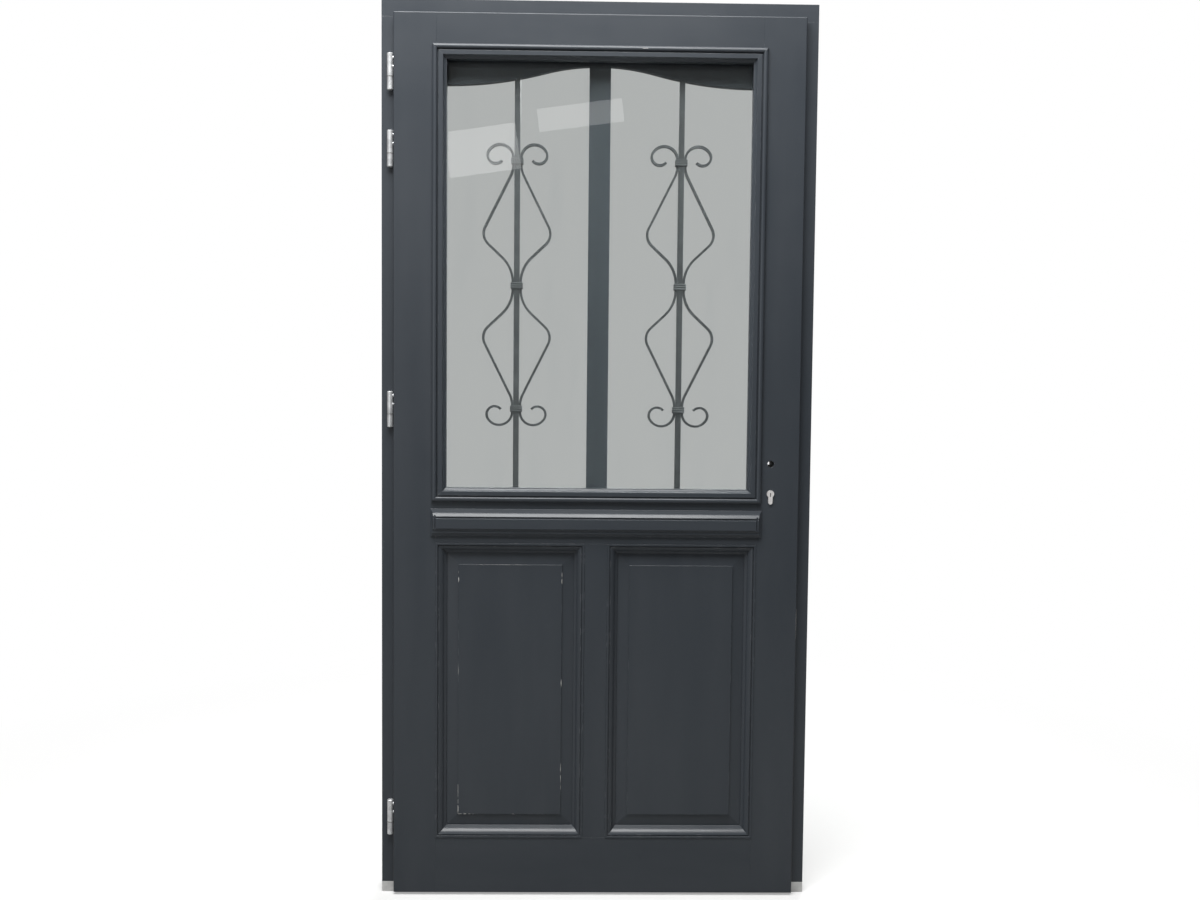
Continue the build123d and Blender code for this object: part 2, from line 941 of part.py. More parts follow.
def cylinder_outline(slack):
    radius = cylinder_radius + slack
    half_web = cylinder_web / 2 + slack
    foot = cylinder_radius - cylinder_height + half_web - slack
    shoulder = -math.sqrt(radius**2 - half_web**2)
    ring = Pos(lock_x, cylinder_z) * Circle(radius)
    web = Pos(lock_x, cylinder_z) * outline(
        (-half_web, foot),
        (-half_web, shoulder),
        (half_web, shoulder),
        (half_web, foot),
        (-half_web, foot, half_web),
    )
    return ring + web


def cylinder_y_span():
    return leaf_front - cylinder_stand, leaf_back + cylinder_stand


def lock_case():
    case = hollow_case(faceplate_back - case_depth, main_case_span())
    case -= across_leaf(hub_radius + hub_fit)
    case -= along_y(cylinder_outline(lock_clearance), (leaf_front, leaf_back))
    return case - cylinder_screw()


def point_cases():
    back_x = faceplate_back - point_case_depth
    return group([hollow_case(back_x, span) for span in point_case_spans()])


def faceplate():
    upright = (faceplate_foot, faceplate_head)
    plate = block((faceplate_back, body_half), around(lock_y, faceplate_width), upright)
    ahead = (faceplate_back - overrun, body_half + overrun)
    slack = 2 * lock_clearance
    latch_hole = (around(lock_y, latch_thickness + slack), around(spindle_height, latch_height + slack))
    bolt_hole = (around(lock_y, bolt_thickness + slack), around(cylinder_z, bolt_height + slack))
    plate -= block(ahead, *latch_hole)
    plate -= block(ahead, *bolt_hole)
    pin_hole = pin_bolt_radius + lock_clearance
    for height in point_heights:
        plate -= rod((ahead[0], lock_y, height), (ahead[1], lock_y, height), pin_hole)
    for screw in [cylinder_screw(), *faceplate_screws()]:
        plate -= screw
    return plate


def faceplate_screws():
    # One at each end of the plate, and one clear of each rod's travel.
    levels = (
        faceplate_foot + faceplate_screw_margin,
        point_case_spans()[1][1] + rod_set_back / 2,
        main_case_span()[1] + rod_set_back / 2,
        faceplate_head - faceplate_screw_margin,
    )
    return [wood_screw((body_half - screw_length, lock_y, z), (body_half, lock_y, z)) for z in levels]


def cylinder_screw():
    level = cylinder_z + cylinder_radius - cylinder_height + cylinder_web / 2
    return rod((lock_x, lock_y, level), (body_half, lock_y, level), cylinder_screw_radius)


def lock_screws():
    return group([cylinder_screw(), *faceplate_screws()])


def cylinder_body():
    front, back = cylinder_y_span()
    body = along_y(cylinder_outline(0), (front, back))
    bore_front = (lock_x, front - overrun, cylinder_z)
    bore_back = (lock_x, back + overrun, cylinder_z)
    slot_upright = (cylinder_z - cam_radius - 2 * cam_fit, cylinder_z + cam_radius)
    slot = block(around(lock_x, 2 * cam_radius), around(lock_y, cam_width + 2 * cam_fit), slot_upright)
    return body - rod(bore_front, bore_back, plug_radius + plug_fit) - slot - cylinder_screw()


def plug(y_span):
    barrel_part = rod((lock_x, y_span[0], cylinder_z), (lock_x, y_span[1], cylinder_z), plug_radius)
    keyway_z = (cylinder_z - plug_radius, cylinder_z - plug_radius + keyway_height)
    keyway = block(around(lock_x, keyway_width), (y_span[0] - overrun, y_span[1] + overrun), keyway_z)
    return barrel_part - keyway


def inside_plug():
    return plug((cylinder_y_span()[0], lock_y - cam_width / 2))


def outside_plug():
    return plug((lock_y + cam_width / 2 + cam_fit, cylinder_y_span()[1]))


def cylinder_cam():
    face = Pos(lock_x, cylinder_z) * Circle(cam_ring_radius)
    nose = Pos(lock_x, cylinder_z - cam_radius / 2) * Rectangle(cam_nose_width, cam_radius)
    sweep_circle = Pos(lock_x, cylinder_z) * Circle(cam_radius)
    return along_y((face + nose) & sweep_circle, around(lock_y, cam_width))


def follower():
    front, back = around(lock_y, case_thickness)
    hub = rod((lock_x, front, spindle_height), (lock_x, back, spindle_height), hub_radius)
    nose = block(
        around(lock_x, hub_nose_width),
        around(lock_y, latch_thickness),
        (spindle_height, spindle_height + hub_nose_radius),
    )
    socket = block(
        around(lock_x, spindle_square),
        around(lock_y, case_thickness + overrun),
        around(spindle_height, spindle_square),
    )
    return hub + nose - socket


def latch_bolt():
    # A bevelled head, with a tail over the hub and a hook behind its nose.
    tip = body_half + latch_reach
    half = latch_thickness / 2
    head_face = outline(
        (tip - latch_reach - latch_length, lock_y - half),
        (tip, lock_y - half),
        (tip, lock_y - half + latch_tail_gap),
        (body_half, lock_y + half),
        (tip - latch_reach - latch_length, lock_y + half),
    )
    head = along_z(head_face, around(spindle_height, latch_height))
    tail_foot = spindle_height + hub_nose_radius + latch_tail_gap
    tail_head = tail_foot + latch_tail_thickness
    hook_front = lock_x - hub_nose_width / 2 - lock_clearance
    hook_back = hook_front - latch_hook_width
    riser_back = body_half - latch_length
    riser_front = riser_back + latch_hook_width
    depth = around(lock_y, latch_thickness)
    riser = block((riser_back, riser_front), depth, (spindle_height, tail_head))
    tail = block((hook_back, riser_front), depth, (tail_foot, tail_head))
    hook = block((hook_back, hook_front), depth, (tail_foot - latch_hook_depth, tail_head))
    return head + riser + tail + hook


def deadbolt():
    across = (body_half - bolt_length, body_half)
    return block(across, around(lock_y, bolt_thickness), around(cylinder_z, bolt_height))


def pin_bolts():
    back_x = body_half - bolt_length
    pins = [rod((back_x, lock_y, z), (body_half, lock_y, z), pin_bolt_radius) for z in point_heights]
    return group(pins)


def rod_spans():
    upper_case, lower_case = point_case_spans()
    case_span = main_case_span()
    return [
        (case_span[1] + rod_set_back, upper_case[0] - rod_set_back),
        (lower_case[1] + rod_set_back, case_span[0] - rod_set_back),
    ]


def drive_rods():
    front = faceplate_back - lock_clearance
    return group([
        block((front - rod_thickness, front), around(lock_y, rod_width), span) for span in rod_spans()
    ])


def lock_stile():
    member = other_side(stile())
    recess = (faceplate_back, body_half + overrun)
    member -= block(recess, around(lock_y, faceplate_width), (faceplate_foot, faceplate_head))
    member -= case_box(faceplate_back - case_depth, main_case_span(), lock_clearance)
    for span in point_case_spans():
        member -= case_box(faceplate_back - point_case_depth, span, lock_clearance)
    groove_back = faceplate_back - rod_thickness - 2 * lock_clearance
    groove_width = around(lock_y, rod_width + 2 * lock_clearance)
    member -= block((groove_back, faceplate_back), groove_width, (lower_point, upper_point))
    member -= across_leaf(spindle_hole_radius)
    member -= along_y(cylinder_outline(lock_clearance), (leaf_front - overrun, leaf_back + overrun))
    for screw in faceplate_screws():
        member -= screw
    return member


# Keepers
def keeper_levels():
    return [(cylinder_z + keeper_rise, keeper_length)] + [(z, point_keeper_length) for z in point_heights]


def keeper_windows(x_span):
    slack = 2 * keeper_window_gap
    width = around(lock_y, bolt_thickness + slack)
    windows = [
        block(x_span, width, around(spindle_height, latch_height + slack)),
        block(x_span, width, around(cylinder_z, bolt_height + slack)),
    ]
    radius = pin_bolt_radius + keeper_window_gap
    windows += [rod((x_span[0], lock_y, z), (x_span[1], lock_y, z), radius) for z in point_heights]
    return windows


def keeper_screws():
    screws = []
    for middle, length in keeper_levels():
        for level in around(middle, 2 * screw_end_share * length):
            tip = (rebate_half + screw_length, lock_y, level)
            screws.append(wood_screw(tip, (rebate_half, lock_y, level)))
    return screws


def keepers():
    plates = []
    for middle, length in keeper_levels():
        across = (rebate_half, rebate_half + keeper_thickness)
        plate = block(across, around(lock_y, keeper_width), around(middle, length))
        for window in keeper_windows((rebate_half - overrun, rebate_half + overrun)):
            plate -= window
        for screw in keeper_screws():
            plate -= screw
        plates.append(plate)
    return plates


def lock_jamb():
    member = jamb()
    recess = (rebate_half - overrun, rebate_half + keeper_thickness)
    for middle, length in keeper_levels():
        member -= block(recess, around(lock_y, keeper_width), around(middle, length))
    for window in keeper_windows((rebate_half, rebate_half + bolt_throw)):
        member -= window
    for screw in keeper_screws():
        member -= screw
    return member


# All pieces by name
lock_keeper, *point_keepers = keepers()
nodes = {
    "hinge_jamb": hinge_jamb(),
    "lock_jamb": lock_jamb(),
    "frame_head": frame_head(),
    "threshold": threshold(),
    "frame_seal": frame_seal(),
    "lock_keeper": lock_keeper,
    "point_keepers": group(point_keepers),
    "keeper_screws": group(keeper_screws()),
    "hinge_pins": group([hinge_pin(height) for height in hinge_heights.values()]),
    "hinge_washers": group([hinge_washer(height) for height in hinge_heights.values()]),
    "hinge_stile": hinge_stile(),
    "lock_stile": lock_stile(),
    "top_rail": top_rail(),
    "mid_rail": mid_rail(),
    "bottom_rail": bottom_rail(),
    "panel_muntin": panel_muntin(),
    "arched_head": arched_head(),
    "glazing_mullion": glazing_mullion(),
    "inner_pane": pane(unit_front),
    "outer_pane": pane(unit_front + pane_thickness + pane_gap),
    "pane_spacer": pane_spacer(),
    "glazing_tape": glazing_tape(),
    "belt_moulding": belt_moulding(),
    "weatherboard": weatherboard(),
    "door_sweep": door_sweep(),
    "lock_case": lock_case(),
    "point_cases": point_cases(),
    "faceplate": faceplate(),
    "lock_screws": lock_screws(),
    "cylinder_body": cylinder_body(),
    "inside_plug": inside_plug(),
    "cylinder_cam": cylinder_cam(),
    "outside_plug": outside_plug(),
    "follower": follower(),
    "latch_bolt": latch_bolt(),
    "deadbolt": deadbolt(),
    "pin_bolts": pin_bolts(),
    "drive_rods": drive_rods(),
}
for name, height in hinge_heights.items():
    nodes[f"{name}_hinge_leaf_half"] = hinge_leaf_half(height)
    nodes[f"{name}_hinge_frame_half"] = hinge_frame_half(height)
for side, bead in glazing_beads().items():
    nodes[f"glazing_bead_{side}"] = bead
panel_spans = {"left": (-opening_half, -panel_inner), "right": (panel_inner, opening_half)}
for side, span in panel_spans.items():
    nodes[f"{side}_panel"] = panel(span)
    nodes[f"{side}_panel_beads"] = panel_beads(span)
for side, place_x in {"left": -grille_x, "right": grille_x}.items():
    nodes[f"{side}_grille_bar"] = grille_bar(place_x)
    nodes[f"{side}_grille_scrolls"] = grille_scrolls(place_x)
    nodes[f"{side}_grille_collars"] = grille_collars(place_x)

os.makedirs("parts", exist_ok=True)
for name, shape in nodes.items():
    export_step(shape, f"parts/{name}.step")
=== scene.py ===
import json
import math
import random

import bpy
from mathutils import Matrix, Quaternion, Vector


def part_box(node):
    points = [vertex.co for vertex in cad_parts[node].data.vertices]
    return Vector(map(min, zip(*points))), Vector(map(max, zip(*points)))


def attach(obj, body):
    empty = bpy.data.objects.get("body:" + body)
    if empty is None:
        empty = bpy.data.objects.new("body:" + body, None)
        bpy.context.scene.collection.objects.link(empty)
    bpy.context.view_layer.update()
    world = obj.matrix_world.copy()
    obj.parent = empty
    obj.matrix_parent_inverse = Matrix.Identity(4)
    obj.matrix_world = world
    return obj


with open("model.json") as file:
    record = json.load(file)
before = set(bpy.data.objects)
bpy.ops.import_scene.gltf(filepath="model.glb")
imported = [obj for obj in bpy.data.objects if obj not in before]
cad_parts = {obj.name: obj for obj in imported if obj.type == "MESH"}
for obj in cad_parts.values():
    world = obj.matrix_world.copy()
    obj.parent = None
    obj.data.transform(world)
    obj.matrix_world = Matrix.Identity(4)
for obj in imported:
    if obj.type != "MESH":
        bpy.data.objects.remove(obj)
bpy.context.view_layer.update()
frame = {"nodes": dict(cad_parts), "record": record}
nodes = frame["nodes"]
slotOf = {row["node"]: row["material_slot"] for row in frame["record"]["subparts"]}
print("frame loaded,", len(nodes), "nodes")


# Node helpers
middle = (0.3, 0.7)  # where most values of a noise lie


def put(tree, kind, inputs=None, **settings):
    node = tree.nodes.new("ShaderNode" + kind)
    for name, value in settings.items():
        setattr(node, name, value)
    for name, value in (inputs or {}).items():
        if isinstance(value, bpy.types.NodeSocket):
            tree.links.new(value, node.inputs[name])
        else:
            node.inputs[name].default_value = value
    return node


def sums(tree, operation, first, second, clamp=True):
    return put(tree, "Math", {0: first, 1: second}, operation=operation, use_clamp=clamp).outputs[0]


def spread(tree, value, low, high, toLow=0.0, toHigh=1.0):
    inputs = {"Value": value, "From Min": low, "From Max": high, "To Min": toLow, "To Max": toHigh}
    return put(tree, "MapRange", inputs).outputs[0]


def blendColour(tree, factor, first, second):
    return put(tree, "Mix", {0: factor, 6: first, 7: second}, data_type="RGBA").outputs[2]


def noise(tree, vector, scale, detail=3.0, roughness=0.55):
    inputs = {"Vector": vector, "Scale": scale, "Detail": detail, "Roughness": roughness}
    return put(tree, "TexNoise", inputs).outputs[0]


def stretched(tree, vector, scale):
    return put(tree, "Mapping", {"Vector": vector, "Scale": scale}).outputs[0]


def bumped(tree, height, strength, depth, **more):
    return put(tree, "Bump", {"Strength": strength, "Distance": depth, "Height": height, **more}).outputs[0]


def rgba(colour):
    return (*colour, 1.0)


def startGroup(name, inputs, outputs):
    group = bpy.data.node_groups.new(name, "ShaderNodeTree")
    for label, kind in inputs.items():
        group.interface.new_socket(label, in_out="INPUT", socket_type="NodeSocket" + kind)
    for label, kind in outputs.items():
        group.interface.new_socket(label, in_out="OUTPUT", socket_type="NodeSocket" + kind)
    entry = group.nodes.new("NodeGroupInput")
    leave = group.nodes.new("NodeGroupOutput")
    return group, entry.outputs, leave.inputs


def useGroup(tree, group, inputs):
    return put(tree, "Group", inputs, node_tree=group).outputs


def startMaterial(name):
    material = bpy.data.materials.new(name)
    material.use_nodes = True
    tree = material.node_tree
    tree.nodes.clear()
    shader = put(tree, "BsdfPrincipled")
    leave = put(tree, "OutputMaterial", {"Surface": shader.outputs[0]})
    place = put(tree, "TexCoord").outputs["Object"]
    return material, tree, shader, place, leave


def feed(tree, shader, **links):
    for name, value in links.items():
        tree.links.new(value, shader.inputs[name.replace("_", " ")])


def fix(shader, **values):
    for name, value in values.items():
        shader.inputs[name.replace("_", " ")].default_value = value


# Shared effects
edgeLook = {"samples": 8, "whole": 0.9, "worn": 0.45, "patchDetail": 5.0, "patchRoughness": 0.65}


def makeEdgeGroup():
    group, entry, leave = startGroup(
        "wornEdges",
        {"Place": "Vector", "Reach": "Float", "Patch Scale": "Float", "Cover": "Float"},
        {"Mask": "Float"},
    )
    inside = put(group, "AmbientOcclusion", {"Distance": entry["Reach"]},
                 samples=edgeLook["samples"], inside=True, only_local=True)
    edge = spread(group, inside.outputs["AO"], edgeLook["whole"], edgeLook["worn"])
    patch = noise(group, entry["Place"], entry["Patch Scale"],
                  edgeLook["patchDetail"], edgeLook["patchRoughness"])
    limit = sums(group, "SUBTRACT", 1.0, entry["Cover"], clamp=False)
    broken = sums(group, "GREATER_THAN", patch, limit, clamp=False)
    group.links.new(sums(group, "MULTIPLY", edge, broken), leave["Mask"])
    return group


grainLook = {
    "poreDetail": 4.0,
    "poreRoughness": 0.6,
    "bandDetail": 2.0,
    "bandRoughness": 0.5,
    "peel": 650.0,  # the paint's own fine skin
    "peelDetail": 1.0,
    "peelRoughness": 0.5,
    "peelShare": 0.5,
}


def makeGrainGroup():
    group, entry, leave = startGroup(
        "grainUnderPaint",
        {"Place": "Vector", "Fine Stretch": "Vector", "Broad Stretch": "Vector"},
        {"Height": "Float", "Tone": "Float"},
    )
    fine, broad = (
        put(group, "VectorMath", {0: entry["Place"], 1: entry[label]}, operation="MULTIPLY").outputs[0]
        for label in ("Fine Stretch", "Broad Stretch")
    )
    pores = noise(group, fine, 1.0, grainLook["poreDetail"], grainLook["poreRoughness"])
    bands = noise(group, broad, 1.0, grainLook["bandDetail"], grainLook["bandRoughness"])
    peel = noise(group, entry["Place"], grainLook["peel"],
                 grainLook["peelDetail"], grainLook["peelRoughness"])
    both = sums(group, "ADD", pores, peel, clamp=False)
    group.links.new(sums(group, "MULTIPLY", both, grainLook["peelShare"], clamp=False), leave["Height"])
    group.links.new(bands, leave["Tone"])
    return group


dustLook = {"steep": 0.35, "level": 0.95, "patchDetail": 4.0, "thin": 0.25, "thick": 0.75}


def makeDustGroup():
    group, entry, leave = startGroup(
        "settledDust", {"Place": "Vector", "Patch Scale": "Float"}, {"Mask": "Float"},
    )
    facing = put(group, "SeparateXYZ", {0: put(group, "NewGeometry").outputs["Normal"]}).outputs[2]
    upward = spread(group, facing, dustLook["steep"], dustLook["level"])
    cloud = noise(group, entry["Place"], entry["Patch Scale"], dustLook["patchDetail"])
    patch = spread(group, cloud, dustLook["thin"], dustLook["thick"])
    group.links.new(sums(group, "MULTIPLY", upward, patch), leave["Mask"])
    return group


edgeGroup = makeEdgeGroup()
grainGroup = makeGrainGroup()
dustGroup = makeDustGroup()


def wornShare(tree, place, look):
    mask = useGroup(tree, edgeGroup, {
        "Place": place, "Reach": look["wearReach"],
        "Patch Scale": look["wearPatch"], "Cover": look["wearCover"],
    })["Mask"]
    return sums(tree, "MULTIPLY", mask, look["wearAmount"])


print("shared effects made")


# Painted wood
paint = {
    "deep": (0.037, 0.044, 0.053),
    "fair": (0.044, 0.051, 0.060),
    "worn": (0.17, 0.18, 0.19),
    "dust": (0.25, 0.25, 0.245),
    "rough": (0.28, 0.36),
    "roughPatch": 9.0,
    "roughDetail": 4.0,
    "grainDepth": 0.00022,
    "grainBump": 0.5,
    "fine": 260.0,
    "fineAlong": 9.0,
    "broad": 16.0,
    "broadAlong": 2.2,
    "softEdge": 0.0012,
    "softSamples": 6,
    "wearReach": 0.0022,
    "wearPatch": 34.0,
    "wearCover": 0.42,
    "wearAmount": 0.38,
    "dustPatch": 14.0,
    "dustAmount": 0.10,
    "ior": 1.5,
    "specular": 0.42,
}


def alongAxis(axis, across, along):
    return tuple(along if place == axis else across for place in range(3))


def makePaint(name, axis):
    material, tree, shader, place, _ = startMaterial(name)
    grain = useGroup(tree, grainGroup, {
        "Place": place,
        "Fine Stretch": alongAxis(axis, paint["fine"], paint["fineAlong"]),
        "Broad Stretch": alongAxis(axis, paint["broad"], paint["broadAlong"]),
    })
    dust = useGroup(tree, dustGroup, {"Place": place, "Patch Scale": paint["dustPatch"]})["Mask"]
    tone = spread(tree, grain["Tone"], *middle)
    colour = blendColour(tree, tone, rgba(paint["deep"]), rgba(paint["fair"]))
    colour = blendColour(tree, wornShare(tree, place, paint), colour, rgba(paint["worn"]))
    dustShare = sums(tree, "MULTIPLY", dust, paint["dustAmount"])
    colour = blendColour(tree, dustShare, colour, rgba(paint["dust"]))
    cloud = noise(tree, place, paint["roughPatch"], paint["roughDetail"])
    rough = spread(tree, cloud, *middle, *paint["rough"])
    soft = put(tree, "Bevel", {"Radius": paint["softEdge"]}, samples=paint["softSamples"]).outputs[0]
    normal = bumped(tree, grain["Height"], paint["grainBump"], paint["grainDepth"], Normal=soft)
    feed(tree, shader, Base_Color=colour, Roughness=rough, Normal=normal)
    fix(shader, IOR=paint["ior"], Specular_IOR_Level=paint["specular"])
    return material


uprightPaint = makePaint("uprightPaint", 2)
levelPaint = makePaint("levelPaint", 0)
levelMembers = (
    "frame_head", "rail", "arched_head", "belt_moulding", "weatherboard", "bead_top", "bead_bottom",
)


def paintFor(name):
    return levelPaint if any(word in name for word in levelMembers) else uprightPaint


# Metals
hingeMetal = {
    "colour": (0.80, 0.81, 0.82), "dull": (0.50, 0.51, 0.52),
    "rough": (0.28, 0.44), "lines": (900, 900, 40), "metal": 0.6,
}
# The washers are real parts, but their dark colour is painted shade for the seam between the hinge's
# knuckles.
washerPaintedShade = {
    "colour": (0.20, 0.20, 0.20), "dull": (0.10, 0.10, 0.10),
    "rough": (0.4, 0.6), "lines": (400, 400, 40), "metal": 0.4,
}
lockMetal = {
    "colour": (0.50, 0.50, 0.49), "dull": (0.34, 0.34, 0.33),
    "rough": (0.38, 0.58), "lines": (500, 500, 30), "metal": 1.0,
}
nickel = {
    "colour": (0.90, 0.88, 0.87), "dull": (0.70, 0.68, 0.67),
    "rough": (0.3, 0.5), "lines": (700, 60, 700), "metal": 0.45,
}
sill = {
    "colour": (0.78, 0.78, 0.77), "dull": (0.68, 0.68, 0.67),
    "rough": (0.3, 0.5), "lines": (20, 700, 700), "metal": 0.5,
}
spacerMetal = {
    "colour": (0.42, 0.42, 0.42), "dull": (0.28, 0.28, 0.28),
    "rough": (0.4, 0.6), "lines": (60, 900, 60), "metal": 1.0,
}
metalDetail = {  # the same on every metal
    "stain": 55.0,
    "stainDetail": 5.0,
    "stainRoughness": 0.65,
    "stainSpan": (0.42, 0.7),
    "bare": (0.85, 0.85, 0.84),
    "lineBump": 0.35,
    "lineDepth": 0.00008,
    "wearReach": 0.0012,
    "wearPatch": 120.0,
    "wearCover": 0.6,
    "wearAmount": 0.5,
}


def makeMetal(name, look):
    material, tree, shader, place, _ = startMaterial(name)
    lines = noise(tree, stretched(tree, place, look["lines"]), 1.0)
    cloud = noise(tree, place, metalDetail["stain"],
                  metalDetail["stainDetail"], metalDetail["stainRoughness"])
    stain = spread(tree, cloud, *metalDetail["stainSpan"])
    colour = blendColour(tree, stain, rgba(look["colour"]), rgba(look["dull"]))
    colour = blendColour(tree, wornShare(tree, place, metalDetail), colour, rgba(metalDetail["bare"]))
    rough = spread(tree, lines, *middle, *look["rough"])
    normal = bumped(tree, lines, metalDetail["lineBump"], metalDetail["lineDepth"])
    feed(tree, shader, Base_Color=colour, Roughness=rough, Normal=normal)
    fix(shader, Metallic=look["metal"])
    return material


iron = {
    "colour": (0.034, 0.036, 0.040),
    "pale": (0.085, 0.089, 0.094),
    "rough": (0.36, 0.58),
    "dents": 120.0,
    "dentBump": 0.5,
    "dentDepth": 0.0005,
    "mottle": 22.0,
    "mottleDetail": 4.0,
    "mottleSpan": (0.35, 0.75),
    "mottleAmount": 0.35,
    "wearReach": 0.0016,
    "wearPatch": 60.0,
    "wearCover": 0.55,
    "wearAmount": 0.6,
    "specular": 0.5,
}


def makeIron():
    material, tree, shader, place, _ = startMaterial("forgedIron")
    dents = noise(tree, place, iron["dents"])
    tone = spread(tree, noise(tree, place, iron["mottle"], iron["mottleDetail"]), *iron["mottleSpan"])
    mottled = sums(tree, "MULTIPLY", tone, iron["mottleAmount"])
    colour = blendColour(tree, mottled, rgba(iron["colour"]), rgba(iron["pale"]))
    colour = blendColour(tree, wornShare(tree, place, iron), colour, rgba(iron["pale"]))
    rough = spread(tree, dents, *middle, *iron["rough"])
    normal = bumped(tree, dents, iron["dentBump"], iron["dentDepth"])
    feed(tree, shader, Base_Color=colour, Roughness=rough, Normal=normal)
    fix(shader, Specular_IOR_Level=iron["specular"])
    return material


# Rubber
rubber = {
    "colour": (0.012, 0.012, 0.013),
    "bloom": (0.045, 0.045, 0.046),
    "rough": (0.55, 0.8),
    "cloud": 70.0,
    "cloudDetail": 4.0,
    "bloomSpan": (0.45, 0.8),
    "bloomAmount": 0.6,
    "pores": 900.0,
    "poreDetail": 2.0,
    "poreBump": 0.4,
    "poreDepth": 0.0002,
}


def makeRubber():
    material, tree, shader, place, _ = startMaterial("blackSeal")
    cloud = noise(tree, place, rubber["cloud"], rubber["cloudDetail"])
    bloom = spread(tree, cloud, *rubber["bloomSpan"], toHigh=rubber["bloomAmount"])
    colour = blendColour(tree, bloom, rgba(rubber["colour"]), rgba(rubber["bloom"]))
    rough = spread(tree, cloud, *middle, *rubber["rough"])
    pores = noise(tree, place, rubber["pores"], rubber["poreDetail"])
    normal = bumped(tree, pores, rubber["poreBump"], rubber["poreDepth"])
    feed(tree, shader, Base_Color=colour, Roughness=rough, Normal=normal)
    return material


# Glass
glass = {
    "tint": (0.955, 0.972, 0.966),
    "smear": (0.92, 0.94, 0.94),
    "smearSpan": (0.55, 0.85),
    "rough": 0.015,
    "roughSpan": (0.58, 0.9),
    "streaks": (14.0, 14.0, 2.5),
    "streakDetail": 5.0,
    "streakRoughness": 0.6,
    "ripple": 3.0,
    "rippleDetail": 1.0,
    "rippleBump": 0.05,
    "rippleDepth": 0.001,
    "ior": 1.5,
}


def makeGlass():
    material, tree, shader, place, leave = startMaterial("clearPane")
    drawn = stretched(tree, place, glass["streaks"])
    streaks = noise(tree, drawn, 1.0, glass["streakDetail"], glass["streakRoughness"])
    smear = spread(tree, streaks, *glass["smearSpan"])
    colour = blendColour(tree, smear, rgba(glass["tint"]), rgba(glass["smear"]))
    rough = spread(tree, streaks, *glass["roughSpan"], toHigh=glass["rough"])
    waves = noise(tree, place, glass["ripple"], glass["rippleDetail"])
    normal = bumped(tree, waves, glass["rippleBump"], glass["rippleDepth"])
    feed(tree, shader, Base_Color=colour, Roughness=rough, Normal=normal)
    fix(shader, Transmission_Weight=1.0, IOR=glass["ior"])
    passing = put(tree, "BsdfTransparent", {"Color": rgba(glass["tint"])})  # so that lamps shine through
    shadowRay = put(tree, "LightPath").outputs["Is Shadow Ray"]
    either = put(tree, "MixShader", {0: shadowRay, 1: shader.outputs[0], 2: passing.outputs[0]})
    tree.links.new(either.outputs[0], leave.inputs["Surface"])
    return material


finishes = {
    "threshold_aluminium": makeMetal("sillMetal", sill),
    "spacer_aluminium": makeMetal("spacerMetal", spacerMetal),
    "hinge_steel": makeMetal("hingeMetal", hingeMetal),
    "lock_steel": makeMetal("lockMetal", lockMetal),
    "cylinder_nickel": makeMetal("nickelFace", nickel),
    "wrought_iron": makeIron(),
    "seal_rubber": makeRubber(),
    "clear_glass": makeGlass(),
}
# The hinge washers get the dark look above, which is painted shade in the seam between the knuckles.
paintedShadeFinishes = {"hinge_washers": makeMetal("washerPaintedShade", washerPaintedShade)}
for name, node in nodes.items():
    node.data.materials.clear()
    node.data.materials.append(paintedShadeFinishes.get(name) or finishes.get(slotOf[name]) or paintFor(name))
print("materials set on", len(nodes), "nodes")


# Chipped paint
chips = {
    "colour": (0.78, 0.77, 0.74),
    "dirty": (0.46, 0.45, 0.43),
    "dirtSpan": (0.4, 0.7),
    "rough": (0.6, 0.9),
    "roughSpan": (0.2, 0.8),
    "speck": 420.0,
    "speckDetail": 4.0,
    "speckRoughness": 0.7,
    "speckBump": 0.6,
    "speckDepth": 0.0002,
    "proud": 0.00006,
    "step": 0.004,
    "fewest": 3,  # rows in a strip
    "ends": (0.06, 0.94),  # a strip's ends stay this blunt
    "width": 0.0009,
    "widthRange": (0.35, 1.25),
    "wrap": 0.0011,
    "wrapRange": (0.4, 1.1),
    "seed": 7,
    "fieldInset": 0.0525,  # from the panel's opening to its raised field
    "openingEdge": 0.002,  # from the panel's board to its opening
    "spots": (  # side of the field, first and last share of that side's length, size
        ("left", 0.93, 0.95, 1.6),
        ("left", 0.965, 0.975, 0.9),
        ("left", 0.0, 0.035, 1.3),
        ("left", 0.042, 0.06, 0.9),
        ("left", 0.068, 0.12, 0.7),
        ("left", 0.56, 0.60, 0.4),
        ("right", 0.925, 0.945, 1.1),
        ("right", 0.952, 0.97, 0.8),
        ("right", 0.515, 0.545, 1.2),
        ("right", 0.10, 0.118, 1.1),
        ("right", 0.13, 0.16, 0.9),
        ("right", 0.172, 0.205, 1.0),
        ("foot", 0.0, 0.035, 1.2),
        ("foot", 0.055, 0.08, 1.3),
        ("foot", 0.1, 0.125, 1.1),
        ("foot", 0.14, 0.15, 0.8),
        ("foot", 0.53, 0.55, 1.1),
        ("head", 0.17, 0.70, 0.28),
    ),
    "beadSpan": (0.095, 0.108),  # across the top bead, from the door's middle
    "beadDrop": 0.007,
    "beadSize": 1.7,
    "stileSpan": (0.622, 0.693),  # up the lock stile's edge
    "stileRound": 0.0007,
    "stileSize": 0.35,
}


def makeChipMaterial():
    material, tree, shader, place, _ = startMaterial("barePrimer")
    speck = noise(tree, place, chips["speck"], chips["speckDetail"], chips["speckRoughness"])
    dirt = spread(tree, speck, *chips["dirtSpan"])
    colour = blendColour(tree, dirt, rgba(chips["colour"]), rgba(chips["dirty"]))
    rough = spread(tree, speck, *chips["roughSpan"], *chips["rough"])
    normal = bumped(tree, speck, chips["speckBump"], chips["speckDepth"])
    feed(tree, shader, Base_Color=colour, Roughness=rough, Normal=normal)
    return material


